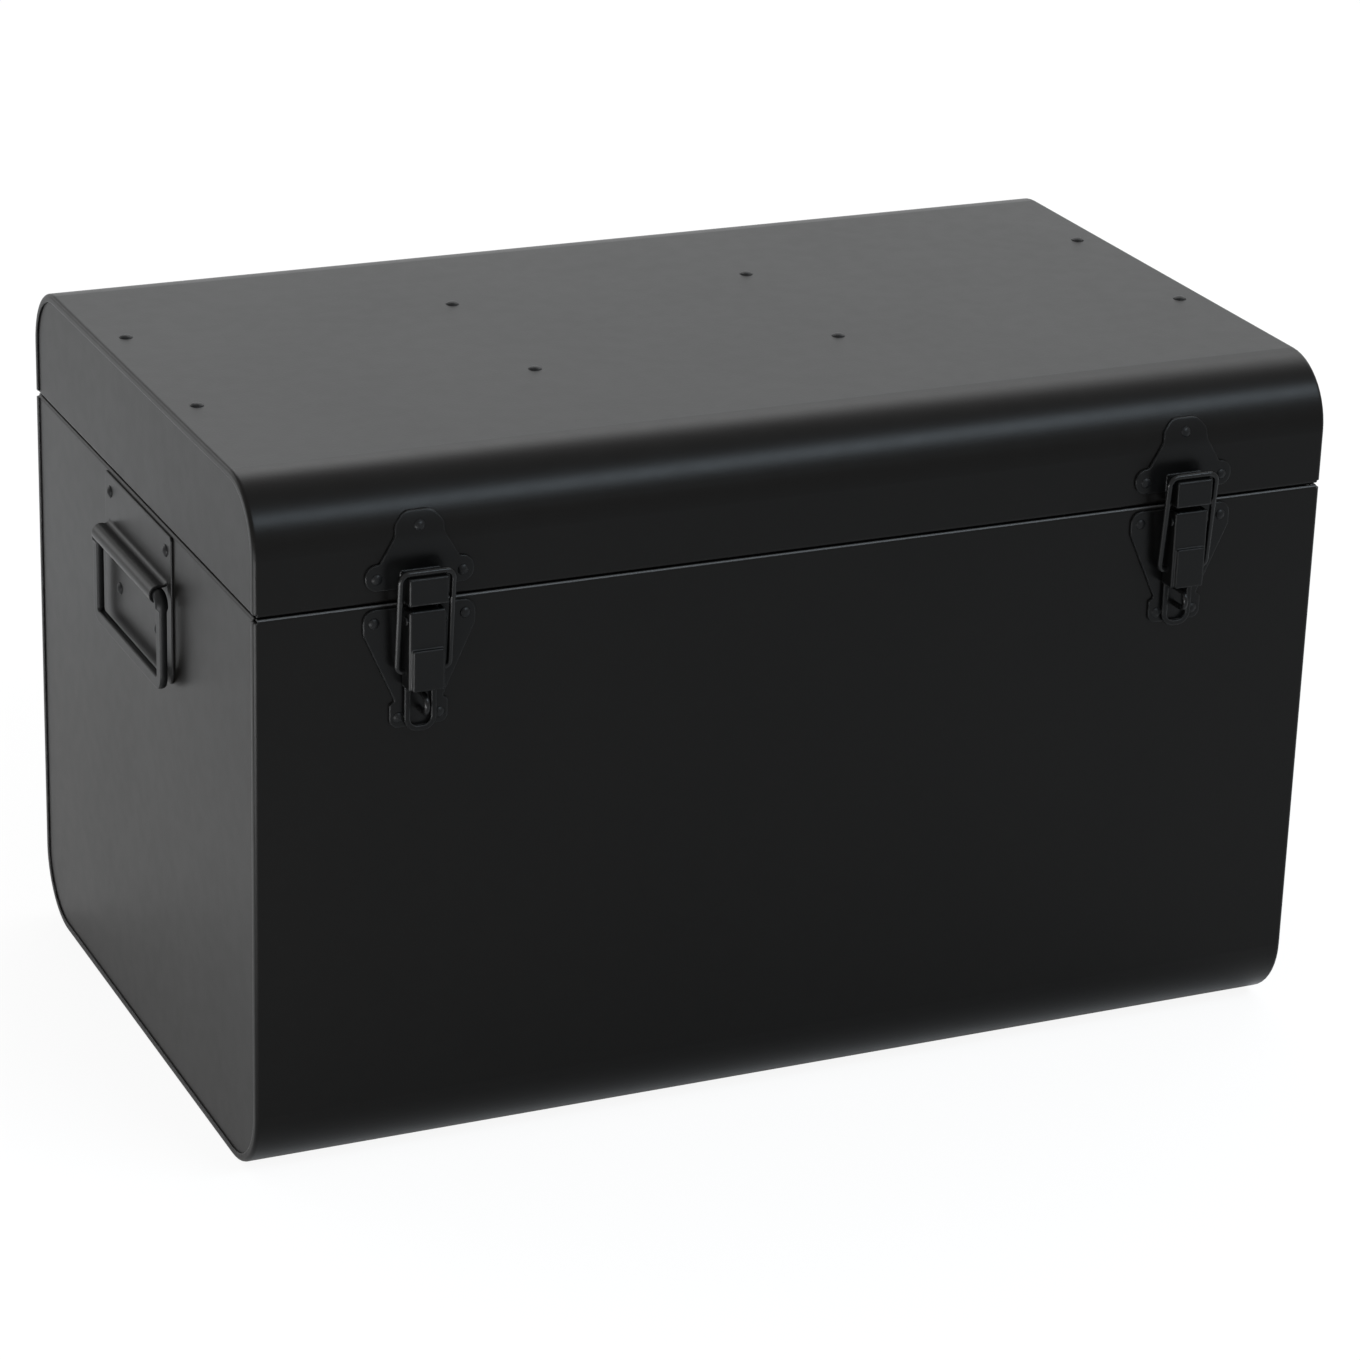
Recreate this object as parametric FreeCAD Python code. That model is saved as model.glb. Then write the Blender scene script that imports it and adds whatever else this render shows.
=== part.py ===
import FreeCAD, Part
import math
import os

Vector = FreeCAD.Vector

# Metal storage chest with a hinged lid, two draw latches and two drop handles.
# Millimetres. Origin at the centre of the underside, +Z up, front towards -Y.

# Chest body: a sheet wraps front, floor and back, and a dished panel closes each end
WIDTH = 600.0
DEPTH = 367.0
BASE_HEIGHT = 310.0
LID_HEIGHT = 65.2
SEAM_GAP = 0.8
BASE_EDGE_RADIUS = 39.0
LID_EDGE_RADIUS = 36.0
SHEET = 0.8
END_LIP = 4.5
END_BEND = 2.0
END_FLANGE = 8.0
HEM_RADIUS = 1.7
HEM_LEG = 12.0

# Inner rim of the base: a joggled strip that stands up into the lid
RIM_SHEET = 0.8
RIM_JOGGLE = 0.8
RIM_RISE = 9.0
RIM_CORNER = 3.0

# Stiffening rails under the lid
RAIL_WIDTH = 24.0
RAIL_LEG = 9.0
RAIL_SHEET = 1.0
RAIL_BEND = 1.6
RAIL_FRONT_INSET = 132.5
RAIL_REAR_INSET = 116.5
RAIL_END_RIVET = 6.5
LID_RIVET_LEFT = 100.0
LID_RIVET_RIGHT = 75.0

# Rivets: head radius and height by use, one shank and one closing head
SHANK_RADIUS = 1.5
CLOSING_RADIUS = 2.6
CLOSING_HEIGHT = 0.8
LID_HEAD = (3.75, 1.5)
LATCH_HEAD = (2.9, 1.3)
HANDLE_HEAD = (3.5, 1.6)
HINGE_HEAD = (3.0, 1.3)

# Clearances
SEAT_FIT = 0.05
PIN_FIT = 0.03
RUNNING_FIT = 0.06
SIDE_PLAY = 0.3
OVERCUT = 5.0

# Rear hinges
HINGE_INSET = 110.0
HINGE_WIDTH = 64.0
HINGE_LEAF = 28.0
HINGE_SHEET = 1.5
HINGE_CORNER = 5.0
HINGE_PIN_RADIUS = 2.0
HINGE_PIN_HEAD = 2.8
HINGE_PIN_HEAD_HEIGHT = 0.8
HINGE_KNUCKLES = 5
HINGE_RIVET_PITCH = 22.0

# Latches: heights are measured from the base's upper edge, distances from the front face
LATCH_INSET = 85.5
LATCH_SHEET = 1.5
PLATE_EDGE = 0.5

# Catch plate on the lid
CATCH_HALF = 28.5
CATCH_BOTTOM = 7.5
CATCH_LOBE = 6.3
CATCH_SHOULDER_HALF = 21.0
CATCH_SHOULDER = 21.5
CATCH_NECK_HALF = 13.0
CATCH_NECK = 35.0
CATCH_SIDE_TOP = 40.4
CATCH_CROWN_HALF = 7.4
CATCH_TOP = 46.6
CATCH_SIDE_RIVET = 22.6
CATCH_TOP_RIVET_DROP = 7.5

# Catch block that the bail hooks over
BLOCK_WIDTH = 20.4
BLOCK_BOTTOM = 2.8
BLOCK_TOP = 16.8
BLOCK_REACH = 14.6
BLOCK_WALL = 1.5
BLOCK_BEND = 1.4

# Latch plate on the base
PLATE_HALF = 29.5
PLATE_TOP = 2.0
PLATE_LOBE = 6.3
PLATE_SHOULDER = 14.6
PLATE_WAIST_HALF = 12.6
PLATE_WAIST = 52.0
PLATE_FOOT_HALF = 15.5
PLATE_FOOT_LOBE = 4.5
PLATE_BOTTOM = 66.0
PLATE_TOP_RIVET = 24.0
PLATE_TOP_RIVET_DROP = 9.0
PLATE_FOOT_RIVET = 10.8
PLATE_FOOT_RIVET_DROP = 60.3

# Lever, hung on a pin between two ears of the latch plate
LEVER_WIDTH = 19.4
LEVER_SHEET = 1.2
LEVER_TOP = 0.8
LEVER_BOTTOM = 42.6
LEVER_BACK = 2.4
LEVER_FACE = 13.2
LEVER_BEND = 1.2
LEVER_HEEL = 5.0
PIVOT_DROP = 6.5
PIVOT_OUT = 9.5
PIVOT_RADIUS = 1.3
PIVOT_HEAD = 2.2
PIVOT_HEAD_HEIGHT = 0.6
EAR_SHEET = 1.5
EAR_RADIUS = 2.2
EAR_ROOT = 4.6
PAD_WIDTH = 16.4
PAD_TOP = 21.0
PAD_RISE = 2.0
PAD_EDGE = 0.8
TAIL_WIDTH = 17.0
TAIL_RIM = 2.8
TAIL_BACK = 3.0

# Wire bail
BAIL_WIRE = 1.6
BAIL_HALF = 13.8
BAIL_DROP = 34.0
BAIL_OUT = 6.8
BAIL_BAR_OUT = 11.7
BAIL_SEAT = 0.4
BAIL_TOP_BEND = 4.5
BAIL_END_BEND = 3.2
BAIL_END_REACH = 2.0

# Padlock staple, and its room above and below in the opening of the lever's tail
STAPLE_WIRE = 1.5
STAPLE_SPAN = 9.2
STAPLE_REACH = 14.2
ROOM_ABOVE_STAPLE = 1.9
ROOM_BELOW_STAPLE = 7.3

# Drop handles: heights are measured from the base's upper edge
HANDLE_WIDTH = 111.4
HANDLE_SHEET = 1.2
HANDLE_TOP = 2.0
HANDLE_BOTTOM = 84.0
HANDLE_TOP_CORNER = 2.0
HANDLE_LOW_CORNER = 7.0
HANDLE_UPPER_RIVET_INSET = 8.7
HANDLE_UPPER_RIVET_DROP = 11.5
HANDLE_LOWER_RIVET_INSET = 24.2
HANDLE_LOWER_RIVET_DROP = 60.5
BAR_RADIUS = 3.5
BAR_OUT = 6.0
BAR_DROP = 34.2
BAR_REACH = 48.1
BAR_CORNER = 5.0
BAR_PLAY = 0.3
GRIP_THICKNESS = 4.0
GRIP_RUNOUT = 3.0
LEG_PLAY = 1.2
EYE_BEND = 3.2
EYE_END = -100.0
EYE_WINDOW = 8.0

HEIGHT = BASE_HEIGHT + SEAM_GAP + LID_HEIGHT
LATCH_SPREAD = WIDTH / 2 - LATCH_INSET
HINGE_SPREAD = WIDTH / 2 - HINGE_INSET
RAIL_FRONT_Y = RAIL_FRONT_INSET - DEPTH / 2
RAIL_REAR_Y = DEPTH / 2 - RAIL_REAR_INSET
LID_CURVE_START = SEAM_GAP + LID_HEIGHT - LID_EDGE_RADIUS
HINGE_AXIS_Z = BASE_HEIGHT + SEAM_GAP / 2
KNUCKLE_RADIUS = HINGE_PIN_RADIUS + HINGE_SHEET
EAR_MIDDLE = LEVER_WIDTH / 2 - LEVER_SHEET - SIDE_PLAY - EAR_SHEET / 2
SLOT_TOP = LEVER_BOTTOM + LEVER_SHEET
STAPLE_UPPER = SLOT_TOP + ROOM_ABOVE_STAPLE + STAPLE_WIRE
STAPLE_LOWER = STAPLE_UPPER + STAPLE_SPAN
SLOT_BOTTOM = STAPLE_LOWER + STAPLE_WIRE + ROOM_BELOW_STAPLE
TAIL_BOTTOM = SLOT_BOTTOM + TAIL_RIM
CURVE_SAG = CLOSING_RADIUS ** 2 / (2 * (LID_EDGE_RADIUS - SHEET)) + SEAT_FIT
BAR_HALF = HANDLE_WIDTH / 2 - BAR_RADIUS / 2
EYE_HALF = BAR_HALF - BAR_RADIUS - LEG_PLAY
RAIL_HALF = WIDTH / 2 - SHEET - END_FLANGE - 2 * SIDE_PLAY
TINY = 1e-4


# Outlines and sweeps
def rounded_points(corners, closed):
    """Edges through (a, b, radius) corners in the XZ plane, each corner eased by an arc."""
    points = [Vector(a, 0, b) for a, b, _ in corners]
    count = len(points)
    starts, ends, arcs = [], [], []
    for i, (_, _, radius) in enumerate(corners):
        here = points[i]
        inner = closed or 0 < i < count - 1
        if radius <= 0 or not inner:
            starts.append(here)
            ends.append(here)
            arcs.append(None)
            continue
        back = (points[i - 1] - here).normalize()
        ahead = (points[(i + 1) % count] - here).normalize()
        half = back.getAngle(ahead) / 2
        reach = radius / math.tan(half)
        middle = (back + ahead).normalize()
        first = here + back * reach
        last = here + ahead * reach
        crown = here + middle * (radius / math.sin(half) - radius)
        starts.append(first)
        ends.append(last)
        arcs.append(Part.Arc(first, crown, last).toShape())
    edges = []
    for i in range(count):
        if arcs[i]:
            edges.append(arcs[i])
        if i == count - 1 and not closed:
            break
        following = starts[(i + 1) % count]
        if ends[i].distanceToPoint(following) > TINY:
            edges.append(Part.makeLine(ends[i], following))
    return edges


def outline_face(corners):
    """Face in the XZ plane bounded by rounded corners."""
    return Part.Face(Part.Wire(rounded_points(corners, True)))


def mirrored(half):
    """Left half of a symmetric outline, listed from the top down, made whole."""
    return half + [(-a, b, radius) for a, b, radius in reversed(half)]


def eased_plate(corners, thickness):
    """Plate on the plane y = 0 with its front edges rounded over."""
    solid = plate(corners, thickness)
    rim = [e for e in solid.Edges if all(abs(v.Y + thickness) < TINY for v in e.Vertexes)]
    return solid.makeFillet(PLATE_EDGE, rim)


def plate(corners, thickness, lift=0.0):
    """Flat plate in the XZ plane whose back lies lift in front of y = 0."""
    face = outline_face(corners)
    face.translate(Vector(0, -lift, 0))
    return face.extrude(Vector(0, -thickness, 0))


def side_prism(corners, half_width):
    """Prism across X from a side outline of (distance out, height, radius) corners."""
    face = outline_face(corners)
    face.rotate(Vector(0, 0, 0), Vector(0, 0, 1), -90)
    face.translate(Vector(-half_width, 0, 0))
    return face.extrude(Vector(2 * half_width, 0, 0))


def rod(corners, radius, closed=False):
    """Round bar along straight runs joined by arcs in the XZ plane."""
    path = Part.Wire(rounded_points(corners, closed))
    first = path.Edges[0]
    start = first.valueAt(first.FirstParameter)
    along = first.tangentAt(first.FirstParameter)
    ring = Part.Wire(Part.makeCircle(radius, start, along))
    return path.makePipeShell([ring], True, False)


def cylinder_x(radius, half_length, out, height):
    """Cylinder along X, centred, at a distance out of the plane y = 0."""
    start = Vector(-half_length, -out, height)
    return Part.makeCylinder(radius, 2 * half_length, start, Vector(1, 0, 0))


def ring_sector(out, height, inner, outer, start, end):
    """Part of a ring in the plane of (distance out, height), between two angles in degrees."""
    def at(radius, angle):
        turn = math.radians(angle)
        return Vector(out + radius * math.cos(turn), 0, height + radius * math.sin(turn))

    middle = (start + end) / 2
    outer_arc = Part.Arc(at(outer, start), at(outer, middle), at(outer, end)).toShape()
    inner_arc = Part.Arc(at(inner, end), at(inner, middle), at(inner, start)).toShape()
    first = Part.makeLine(at(inner, start), at(outer, start))
    last = Part.makeLine(at(outer, end), at(inner, end))
    return Part.Face(Part.Wire([first, outer_arc, last, inner_arc]))


# Rivets
def rivet(seat, normal, grip, head):
    """Dome rivet whose head sits on seat and whose closing head lies grip behind it."""
    radius, height = head
    sphere = (radius * radius + height * height) / (2 * height)
    rise = math.sqrt(sphere * sphere - radius * radius / 4) - (sphere - height)
    profile = [
        Vector(0, 0, height),
        Vector(0, 0, -grip - CLOSING_HEIGHT),
        Vector(CLOSING_RADIUS, 0, -grip - CLOSING_HEIGHT),
        Vector(CLOSING_RADIUS, 0, -grip),
        Vector(SHANK_RADIUS, 0, -grip),
        Vector(SHANK_RADIUS, 0, 0),
        Vector(radius, 0, 0),
    ]
    edges = [Part.makeLine(a, b) for a, b in zip(profile, profile[1:])]
    edges.append(Part.Arc(profile[-1], Vector(radius / 2, 0, rise), profile[0]).toShape())
    solid = Part.Face(Part.Wire(edges)).revolve(Vector(0, 0, 0), Vector(0, 0, 1), 360)
    solid.Placement = FreeCAD.Placement(seat, FreeCAD.Rotation(Vector(0, 0, 1), normal))
    return solid


def rivet_hole(seat, normal):
    """Cutter for a rivet's hole through every sheet near its seat."""
    start = seat + normal * OVERCUT
    return Part.makeCylinder(SHANK_RADIUS + SEAT_FIT, 3 * OVERCUT, start, normal * -1)


def pierced(solid, places):
    """Solid with a hole at each (seat, normal) place."""
    for seat, normal in places:
        solid = solid.cut(rivet_hole(seat, normal))
    return solid


def rivets(places, grip, head):
    return [rivet(seat, normal, grip, head) for seat, normal in places]


# Chest body, built with its mouth up
def tub_prism(height, radius, inset, x_low, x_high):
    """Prism along X: flat floor, two rounded lower edges, straight walls up to height."""
    half = DEPTH / 2 - inset
    corner = radius - inset
    bend = corner * (1 - math.sqrt(0.5))
    rear = [
        Vector(x_low, half, height),
        Vector(x_low, half, inset + corner),
        Vector(x_low, half - bend, inset + bend),
        Vector(x_low, half - corner, inset),
    ]
    front = [Vector(x_low, -p.y, p.z) for p in rear]
    edges = [
        Part.makeLine(rear[0], rear[1]),
        Part.Arc(rear[1], rear[2], rear[3]).toShape(),
        Part.makeLine(rear[3], front[3]),
        Part.Arc(front[3], front[2], front[1]).toShape(),
        Part.makeLine(front[1], front[0]),
        Part.makeLine(front[0], rear[0]),
    ]
    return Part.Face(Part.Wire(edges)).extrude(Vector(x_high - x_low, 0, 0))


def rounded_ends(solid, radius, planes, mouth):
    """Solid with the edges in the given X planes rounded, apart from those at its mouth."""
    chosen = []
    for edge in solid.Edges:
        xs = [v.X for v in edge.Vertexes]
        at_mouth = all(v.Z > mouth - TINY for v in edge.Vertexes)
        in_plane = any(all(abs(x - plane) < TINY for x in xs) for plane in planes)
        if in_plane and not at_mouth:
            chosen.append(edge)
    return solid.makeFillet(radius, chosen)


def hem(length):
    """Rolled edge along X on top of a wall whose outside is y = 0 and which ends at z = 0."""
    roll = HEM_RADIUS
    inside = roll - SHEET
    outer = Part.Arc(Vector(0, 0, 0), Vector(0, roll, roll), Vector(0, 2 * roll, 0)).toShape()
    inner_start = Vector(0, 2 * roll - SHEET, 0)
    inner = Part.Arc(inner_start, Vector(0, roll, inside), Vector(0, SHEET, 0)).toShape()
    leg_out = Vector(0, 2 * roll, -HEM_LEG)
    leg_in = Vector(0, 2 * roll - SHEET, -HEM_LEG)
    edges = [
        outer,
        Part.makeLine(Vector(0, 2 * roll, 0), leg_out),
        Part.makeLine(leg_out, leg_in),
        Part.makeLine(leg_in, inner_start),
        inner,
        Part.makeLine(Vector(0, SHEET, 0), Vector(0, 0, 0)),
    ]
    solid = Part.Face(Part.Wire(edges)).extrude(Vector(length, 0, 0))
    solid.translate(Vector(-length / 2, 0, 0))
    return solid


def wrap(height, radius):
    """Sheet bent to front, floor and back, with its ends turned over the end panels."""
    half = WIDTH / 2
    top = height - HEM_RADIUS
    above = height + OVERCUT
    outer = tub_prism(top, radius, 0, -half, half)
    outer = rounded_ends(outer, END_BEND, (-half, half), top)
    inside = half - SHEET
    inner = tub_prism(above, radius, SHEET, -inside, inside)
    inner = rounded_ends(inner, END_BEND - SHEET, (-inside, inside), above)
    window = tub_prism(above, radius, END_LIP, -half, half)
    sheet = outer.cut(inner).cut(window)
    for turn in (0, 180):
        roll = hem(WIDTH - 2 * END_BEND)
        roll.translate(Vector(0, -DEPTH / 2, top))
        roll.rotate(Vector(0, 0, 0), Vector(0, 0, 1), turn)
        sheet = sheet.fuse(roll)
    return sheet.removeSplitter()


def end_panel(height, radius, side):
    """Dished panel behind the turned edge of the wrap, with a rolled upper edge."""
    face = WIDTH / 2 - SHEET
    top = height - HEM_RADIUS
    above = height + OVERCUT
    inset = SHEET + SEAT_FIT
    outer = tub_prism(top, radius, inset, -face, END_FLANGE - face)
    outer = rounded_ends(outer, END_BEND, (-face,), top)
    inner = tub_prism(above, radius, inset + SHEET, SHEET - face, END_FLANGE + OVERCUT - face)
    inner = rounded_ends(inner, END_BEND - SHEET, (SHEET - face,), above)
    roll = hem(DEPTH - 2 * (2 * HEM_RADIUS + SIDE_PLAY))
    roll.rotate(Vector(0, 0, 0), Vector(0, 0, 1), -90)
    roll.translate(Vector(-face, 0, top))
    panel = outer.cut(inner).fuse(roll).removeSplitter()
    if side > 0:
        panel.rotate(Vector(0, 0, 0), Vector(0, 0, 1), 180)
    return panel


def as_lid(solid):
    """Turns a shell built mouth up into its place as part of the lid."""
    solid.rotate(Vector(0, 0, 0), Vector(1, 0, 0), 180)
    solid.translate(Vector(0, 0, HEIGHT))
    return solid


def rim_band(inset, low, high):
    """Upright band round the mouth, inset from the inner face of the rolled edges."""
    half_x = WIDTH / 2 - SHEET - 2 * HEM_RADIUS - SEAT_FIT - inset
    half_y = DEPTH / 2 - 2 * HEM_RADIUS - SEAT_FIT - inset
    corner = RIM_CORNER - inset / 2
    corners = [
        (-half_x, half_y, corner),
        (half_x, half_y, corner),
        (half_x, -half_y, corner),
        (-half_x, -half_y, corner),
    ]
    face = outline_face(corners)
    face.rotate(Vector(0, 0, 0), Vector(1, 0, 0), 90)
    face.translate(Vector(0, 0, low))
    return face.extrude(Vector(0, 0, high - low))


def base_rim():
    """Joggled strip inside the rolled edges that stands up into the lid."""
    low = BASE_HEIGHT - HEM_RADIUS - HEM_LEG
    step = BASE_HEIGHT - HEM_RADIUS
    high = BASE_HEIGHT + RIM_RISE
    lower = rim_band(0, low, step)
    upper = rim_band(RIM_JOGGLE, step - RIM_SHEET, high)
    lower_hollow = rim_band(RIM_SHEET, low - OVERCUT, step - RIM_SHEET)
    upper_hollow = rim_band(RIM_JOGGLE + RIM_SHEET, low - OVERCUT, high + OVERCUT)
    return lower.fuse(upper).cut(lower_hollow).cut(upper_hollow).removeSplitter()


def lid_rail(y):
    """Channel whose web is riveted to the underside of the lid's top."""
    half = RAIL_WIDTH / 2
    inner = half - RAIL_SHEET
    top = HEIGHT - SHEET
    low = top - RAIL_LEG
    web = top - RAIL_SHEET
    corners = [
        (y - half, low, 0),
        (y - half, top, RAIL_BEND),
        (y + half, top, RAIL_BEND),
        (y + half, low, 0),
        (y + inner, low, 0),
        (y + inner, web, RAIL_BEND - RAIL_SHEET),
        (y - inner, web, RAIL_BEND - RAIL_SHEET),
        (y - inner, low, 0),
    ]
    face = outline_face(corners)
    face.rotate(Vector(0, 0, 0), Vector(0, 0, 1), 90)
    face.translate(Vector(-RAIL_HALF, 0, 0))
    return face.extrude(Vector(2 * RAIL_HALF, 0, 0))


def lid_rivet_places():
    end = RAIL_HALF - RAIL_END_RIVET
    return [
        (Vector(x, y, HEIGHT), Vector(0, 0, 1))
        for y in (RAIL_FRONT_Y, RAIL_REAR_Y)
        for x in (-end, -LID_RIVET_LEFT, LID_RIVET_RIGHT, end)
    ]


# Rear hinges, built against the plane y = 0 with the axis at z = 0
def hinge_leaf(first_knuckle, bore):
    """Leaf that hangs below the axis and curls round the pin at every second knuckle."""
    half = HINGE_WIDTH / 2
    pitch = HINGE_WIDTH / HINGE_KNUCKLES
    corners = [
        (-half, 0, 0),
        (half, 0, 0),
        (half, -HINGE_LEAF, HINGE_CORNER),
        (-half, -HINGE_LEAF, HINGE_CORNER),
    ]
    leaf = plate(corners, HINGE_SHEET)
    notch_half = (pitch + SIDE_PLAY) / 2
    reach = KNUCKLE_RADIUS + SIDE_PLAY
    for i in range(HINGE_KNUCKLES):
        middle = -half + (i + 0.5) * pitch
        if i % 2 == first_knuckle:
            knuckle = cylinder_x(KNUCKLE_RADIUS, (pitch - SIDE_PLAY) / 2, KNUCKLE_RADIUS, 0)
            knuckle.translate(Vector(middle, 0, 0))
            leaf = leaf.fuse(knuckle)
        else:
            notch = cylinder_x(reach, notch_half, KNUCKLE_RADIUS, 0)
            notch.translate(Vector(middle, 0, 0))
            corner = Vector(middle - notch_half, -KNUCKLE_RADIUS, -reach)
            edge = Part.makeBox(2 * notch_half, reach, 2 * reach, corner)
            leaf = leaf.cut(notch).cut(edge)
    leaf = leaf.cut(cylinder_x(HINGE_PIN_RADIUS + bore, HINGE_WIDTH, KNUCKLE_RADIUS, 0))
    return leaf.removeSplitter()


def hinge_leaf_places():
    drop = (HINGE_LEAF + KNUCKLE_RADIUS) / 2
    spots = (-HINGE_RIVET_PITCH, 0, HINGE_RIVET_PITCH)
    return [(Vector(x, -HINGE_SHEET, -drop), Vector(0, -1, 0)) for x in spots]


def hinge_pin():
    pin = cylinder_x(HINGE_PIN_RADIUS, HINGE_WIDTH / 2, KNUCKLE_RADIUS, 0)
    for side in (-1, 1):
        start = Vector(side * HINGE_WIDTH / 2, -KNUCKLE_RADIUS, 0)
        along = Vector(side, 0, 0)
        pin = pin.fuse(Part.makeCylinder(HINGE_PIN_HEAD, HINGE_PIN_HEAD_HEIGHT, start, along))
    return pin.removeSplitter()


def on_back(solid, x):
    """Places a hinge piece on the chest's back at the seam."""
    solid.rotate(Vector(0, 0, 0), Vector(0, 0, 1), 180)
    solid.translate(Vector(x, DEPTH / 2, HINGE_AXIS_Z))
    return solid


def places_on_back(places, x, flip):
    """Rivet places of a leaf at the back, with the lid's leaf turned upwards."""
    moved = []
    for seat, normal in places:
        z = -seat.z if flip else seat.z
        moved.append((Vector(x - seat.x, DEPTH / 2 - seat.y, HINGE_AXIS_Z + z), normal * -1))
    return moved


def lid_leaf():
    leaf = hinge_leaf(1, RUNNING_FIT)
    leaf.rotate(Vector(0, 0, 0), Vector(0, 1, 0), 180)
    return leaf


# Latches, built against the plane y = 0 with the base's upper edge at z = 0
def on_front(solid, x):
    solid.translate(Vector(x, -DEPTH / 2, BASE_HEIGHT))
    return solid


def places_on_front(places, x):
    shift = Vector(x, -DEPTH / 2, BASE_HEIGHT)
    return [(seat + shift, normal) for seat, normal in places]


def lid_skin(thickness, half_width):
    """Layer of the given thickness outside the lid's front, top and back."""
    outer = tub_prism(LID_HEIGHT, LID_EDGE_RADIUS, -thickness, -half_width, half_width)
    inner = tub_prism(LID_HEIGHT + OVERCUT, LID_EDGE_RADIUS, 0, -half_width, half_width)
    skin = as_lid(outer.cut(inner))
    skin.translate(Vector(0, DEPTH / 2, -BASE_HEIGHT))
    return skin


def catch_plate():
    """Plate bent to the lid's front and upper edge, with a hollow block for the bail."""
    lobe_top = CATCH_BOTTOM + 2 * CATCH_LOBE + SIDE_PLAY
    half = [
        (-CATCH_CROWN_HALF, CATCH_TOP, CATCH_CROWN_HALF),
        (-CATCH_NECK_HALF, CATCH_SIDE_TOP, CATCH_LOBE),
        (-CATCH_NECK_HALF, CATCH_NECK, CATCH_LOBE),
        (-CATCH_SHOULDER_HALF, CATCH_SHOULDER, LATCH_SHEET),
        (-CATCH_HALF, lobe_top, CATCH_LOBE),
        (-CATCH_HALF, CATCH_BOTTOM, CATCH_LOBE),
    ]
    stamp = plate(mirrored(half), LID_EDGE_RADIUS, -LID_EDGE_RADIUS / 2)
    sheet = stamp.common(lid_skin(LATCH_SHEET, CATCH_HALF + OVERCUT))
    rim = [edge for edge in sheet.Edges if all(on_catch_face(v.Point) for v in edge.Vertexes)]
    sheet = sheet.makeFillet(PLATE_EDGE, [edge for edge in rim if not runs_across(edge)])
    return sheet.fuse(catch_block()).removeSplitter()


def on_catch_face(point):
    """True where a point lies on the outer face of the catch plate."""
    rise = max(0.0, point.z - LID_CURVE_START)
    out = math.hypot(LID_EDGE_RADIUS - point.y, rise) - LID_EDGE_RADIUS
    return abs(out - LATCH_SHEET) < TINY


def runs_across(edge):
    """True for the line across the plate where its bend to the lid's curve begins."""
    first, last = edge.Vertexes[0].Point, edge.Vertexes[-1].Point
    at_bend = all(abs(p.z - LID_CURVE_START) < TINY for p in (first, last))
    return at_bend and abs(first.x - last.x) > CATCH_NECK_HALF


def catch_block():
    """Pressed block, open below and behind, whose top carries the bail's bar."""
    outer = side_prism(
        [
            (LATCH_SHEET, BLOCK_BOTTOM, 0),
            (BLOCK_REACH, BLOCK_BOTTOM, 0),
            (BLOCK_REACH, BLOCK_TOP, BLOCK_BEND),
            (LATCH_SHEET, BLOCK_TOP, 0),
        ],
        BLOCK_WIDTH / 2,
    )
    sides = [
        edge for edge in outer.Edges
        if all(abs(abs(v.X) - BLOCK_WIDTH / 2) < TINY for v in edge.Vertexes)
        and all(v.Y < -LATCH_SHEET - TINY for v in edge.Vertexes)
        and any(v.Z > BLOCK_BOTTOM + TINY for v in edge.Vertexes)
    ]
    outer = outer.makeFillet(BLOCK_BEND / 2, sides)
    inner = side_prism(
        [
            (LATCH_SHEET, BLOCK_BOTTOM - OVERCUT, 0),
            (BLOCK_REACH - BLOCK_WALL, BLOCK_BOTTOM - OVERCUT, 0),
            (BLOCK_REACH - BLOCK_WALL, BLOCK_TOP - BLOCK_WALL, BLOCK_BEND / 2),
            (LATCH_SHEET, BLOCK_TOP - BLOCK_WALL, 0),
        ],
        BLOCK_WIDTH / 2 - BLOCK_WALL,
    )
    return outer.cut(inner)


def catch_side_places():
    height = CATCH_BOTTOM + CATCH_LOBE
    return [
        (Vector(side * CATCH_SIDE_RIVET, -LATCH_SHEET, height), Vector(0, -1, 0))
        for side in (-1, 1)
    ]


def catch_top_places():
    """Rivet in the top lobe, square to the lid's surface there."""
    height = CATCH_TOP - CATCH_TOP_RIVET_DROP
    level = min(LID_CURVE_START, height)
    lean = math.asin((height - level) / LID_EDGE_RADIUS)
    normal = Vector(0, -math.cos(lean), math.sin(lean))
    centre = Vector(0, LID_EDGE_RADIUS, level)
    return [(centre + normal * (LID_EDGE_RADIUS + LATCH_SHEET), normal)]


def latch_plate():
    """Plate with side lobes, a tapered waist, a lobed foot and two pivot ears."""
    half = [
        (-PLATE_HALF, -PLATE_TOP, PLATE_LOBE),
        (-PLATE_HALF, -PLATE_SHOULDER, PLATE_LOBE),
        (-PLATE_WAIST_HALF, -PLATE_WAIST, LATCH_SHEET),
        (-PLATE_FOOT_HALF, -PLATE_WAIST - LATCH_SHEET, LATCH_SHEET),
        (-PLATE_FOOT_HALF, -PLATE_BOTTOM, PLATE_FOOT_LOBE),
    ]
    sheet = eased_plate(mirrored(half), LATCH_SHEET)
    for side in (-1, 1):
        sheet = sheet.fuse(pivot_ear(side))
    return sheet.cut(cylinder_x(PIVOT_RADIUS + PIN_FIT, LEVER_WIDTH, PIVOT_OUT, -PIVOT_DROP))


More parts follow.
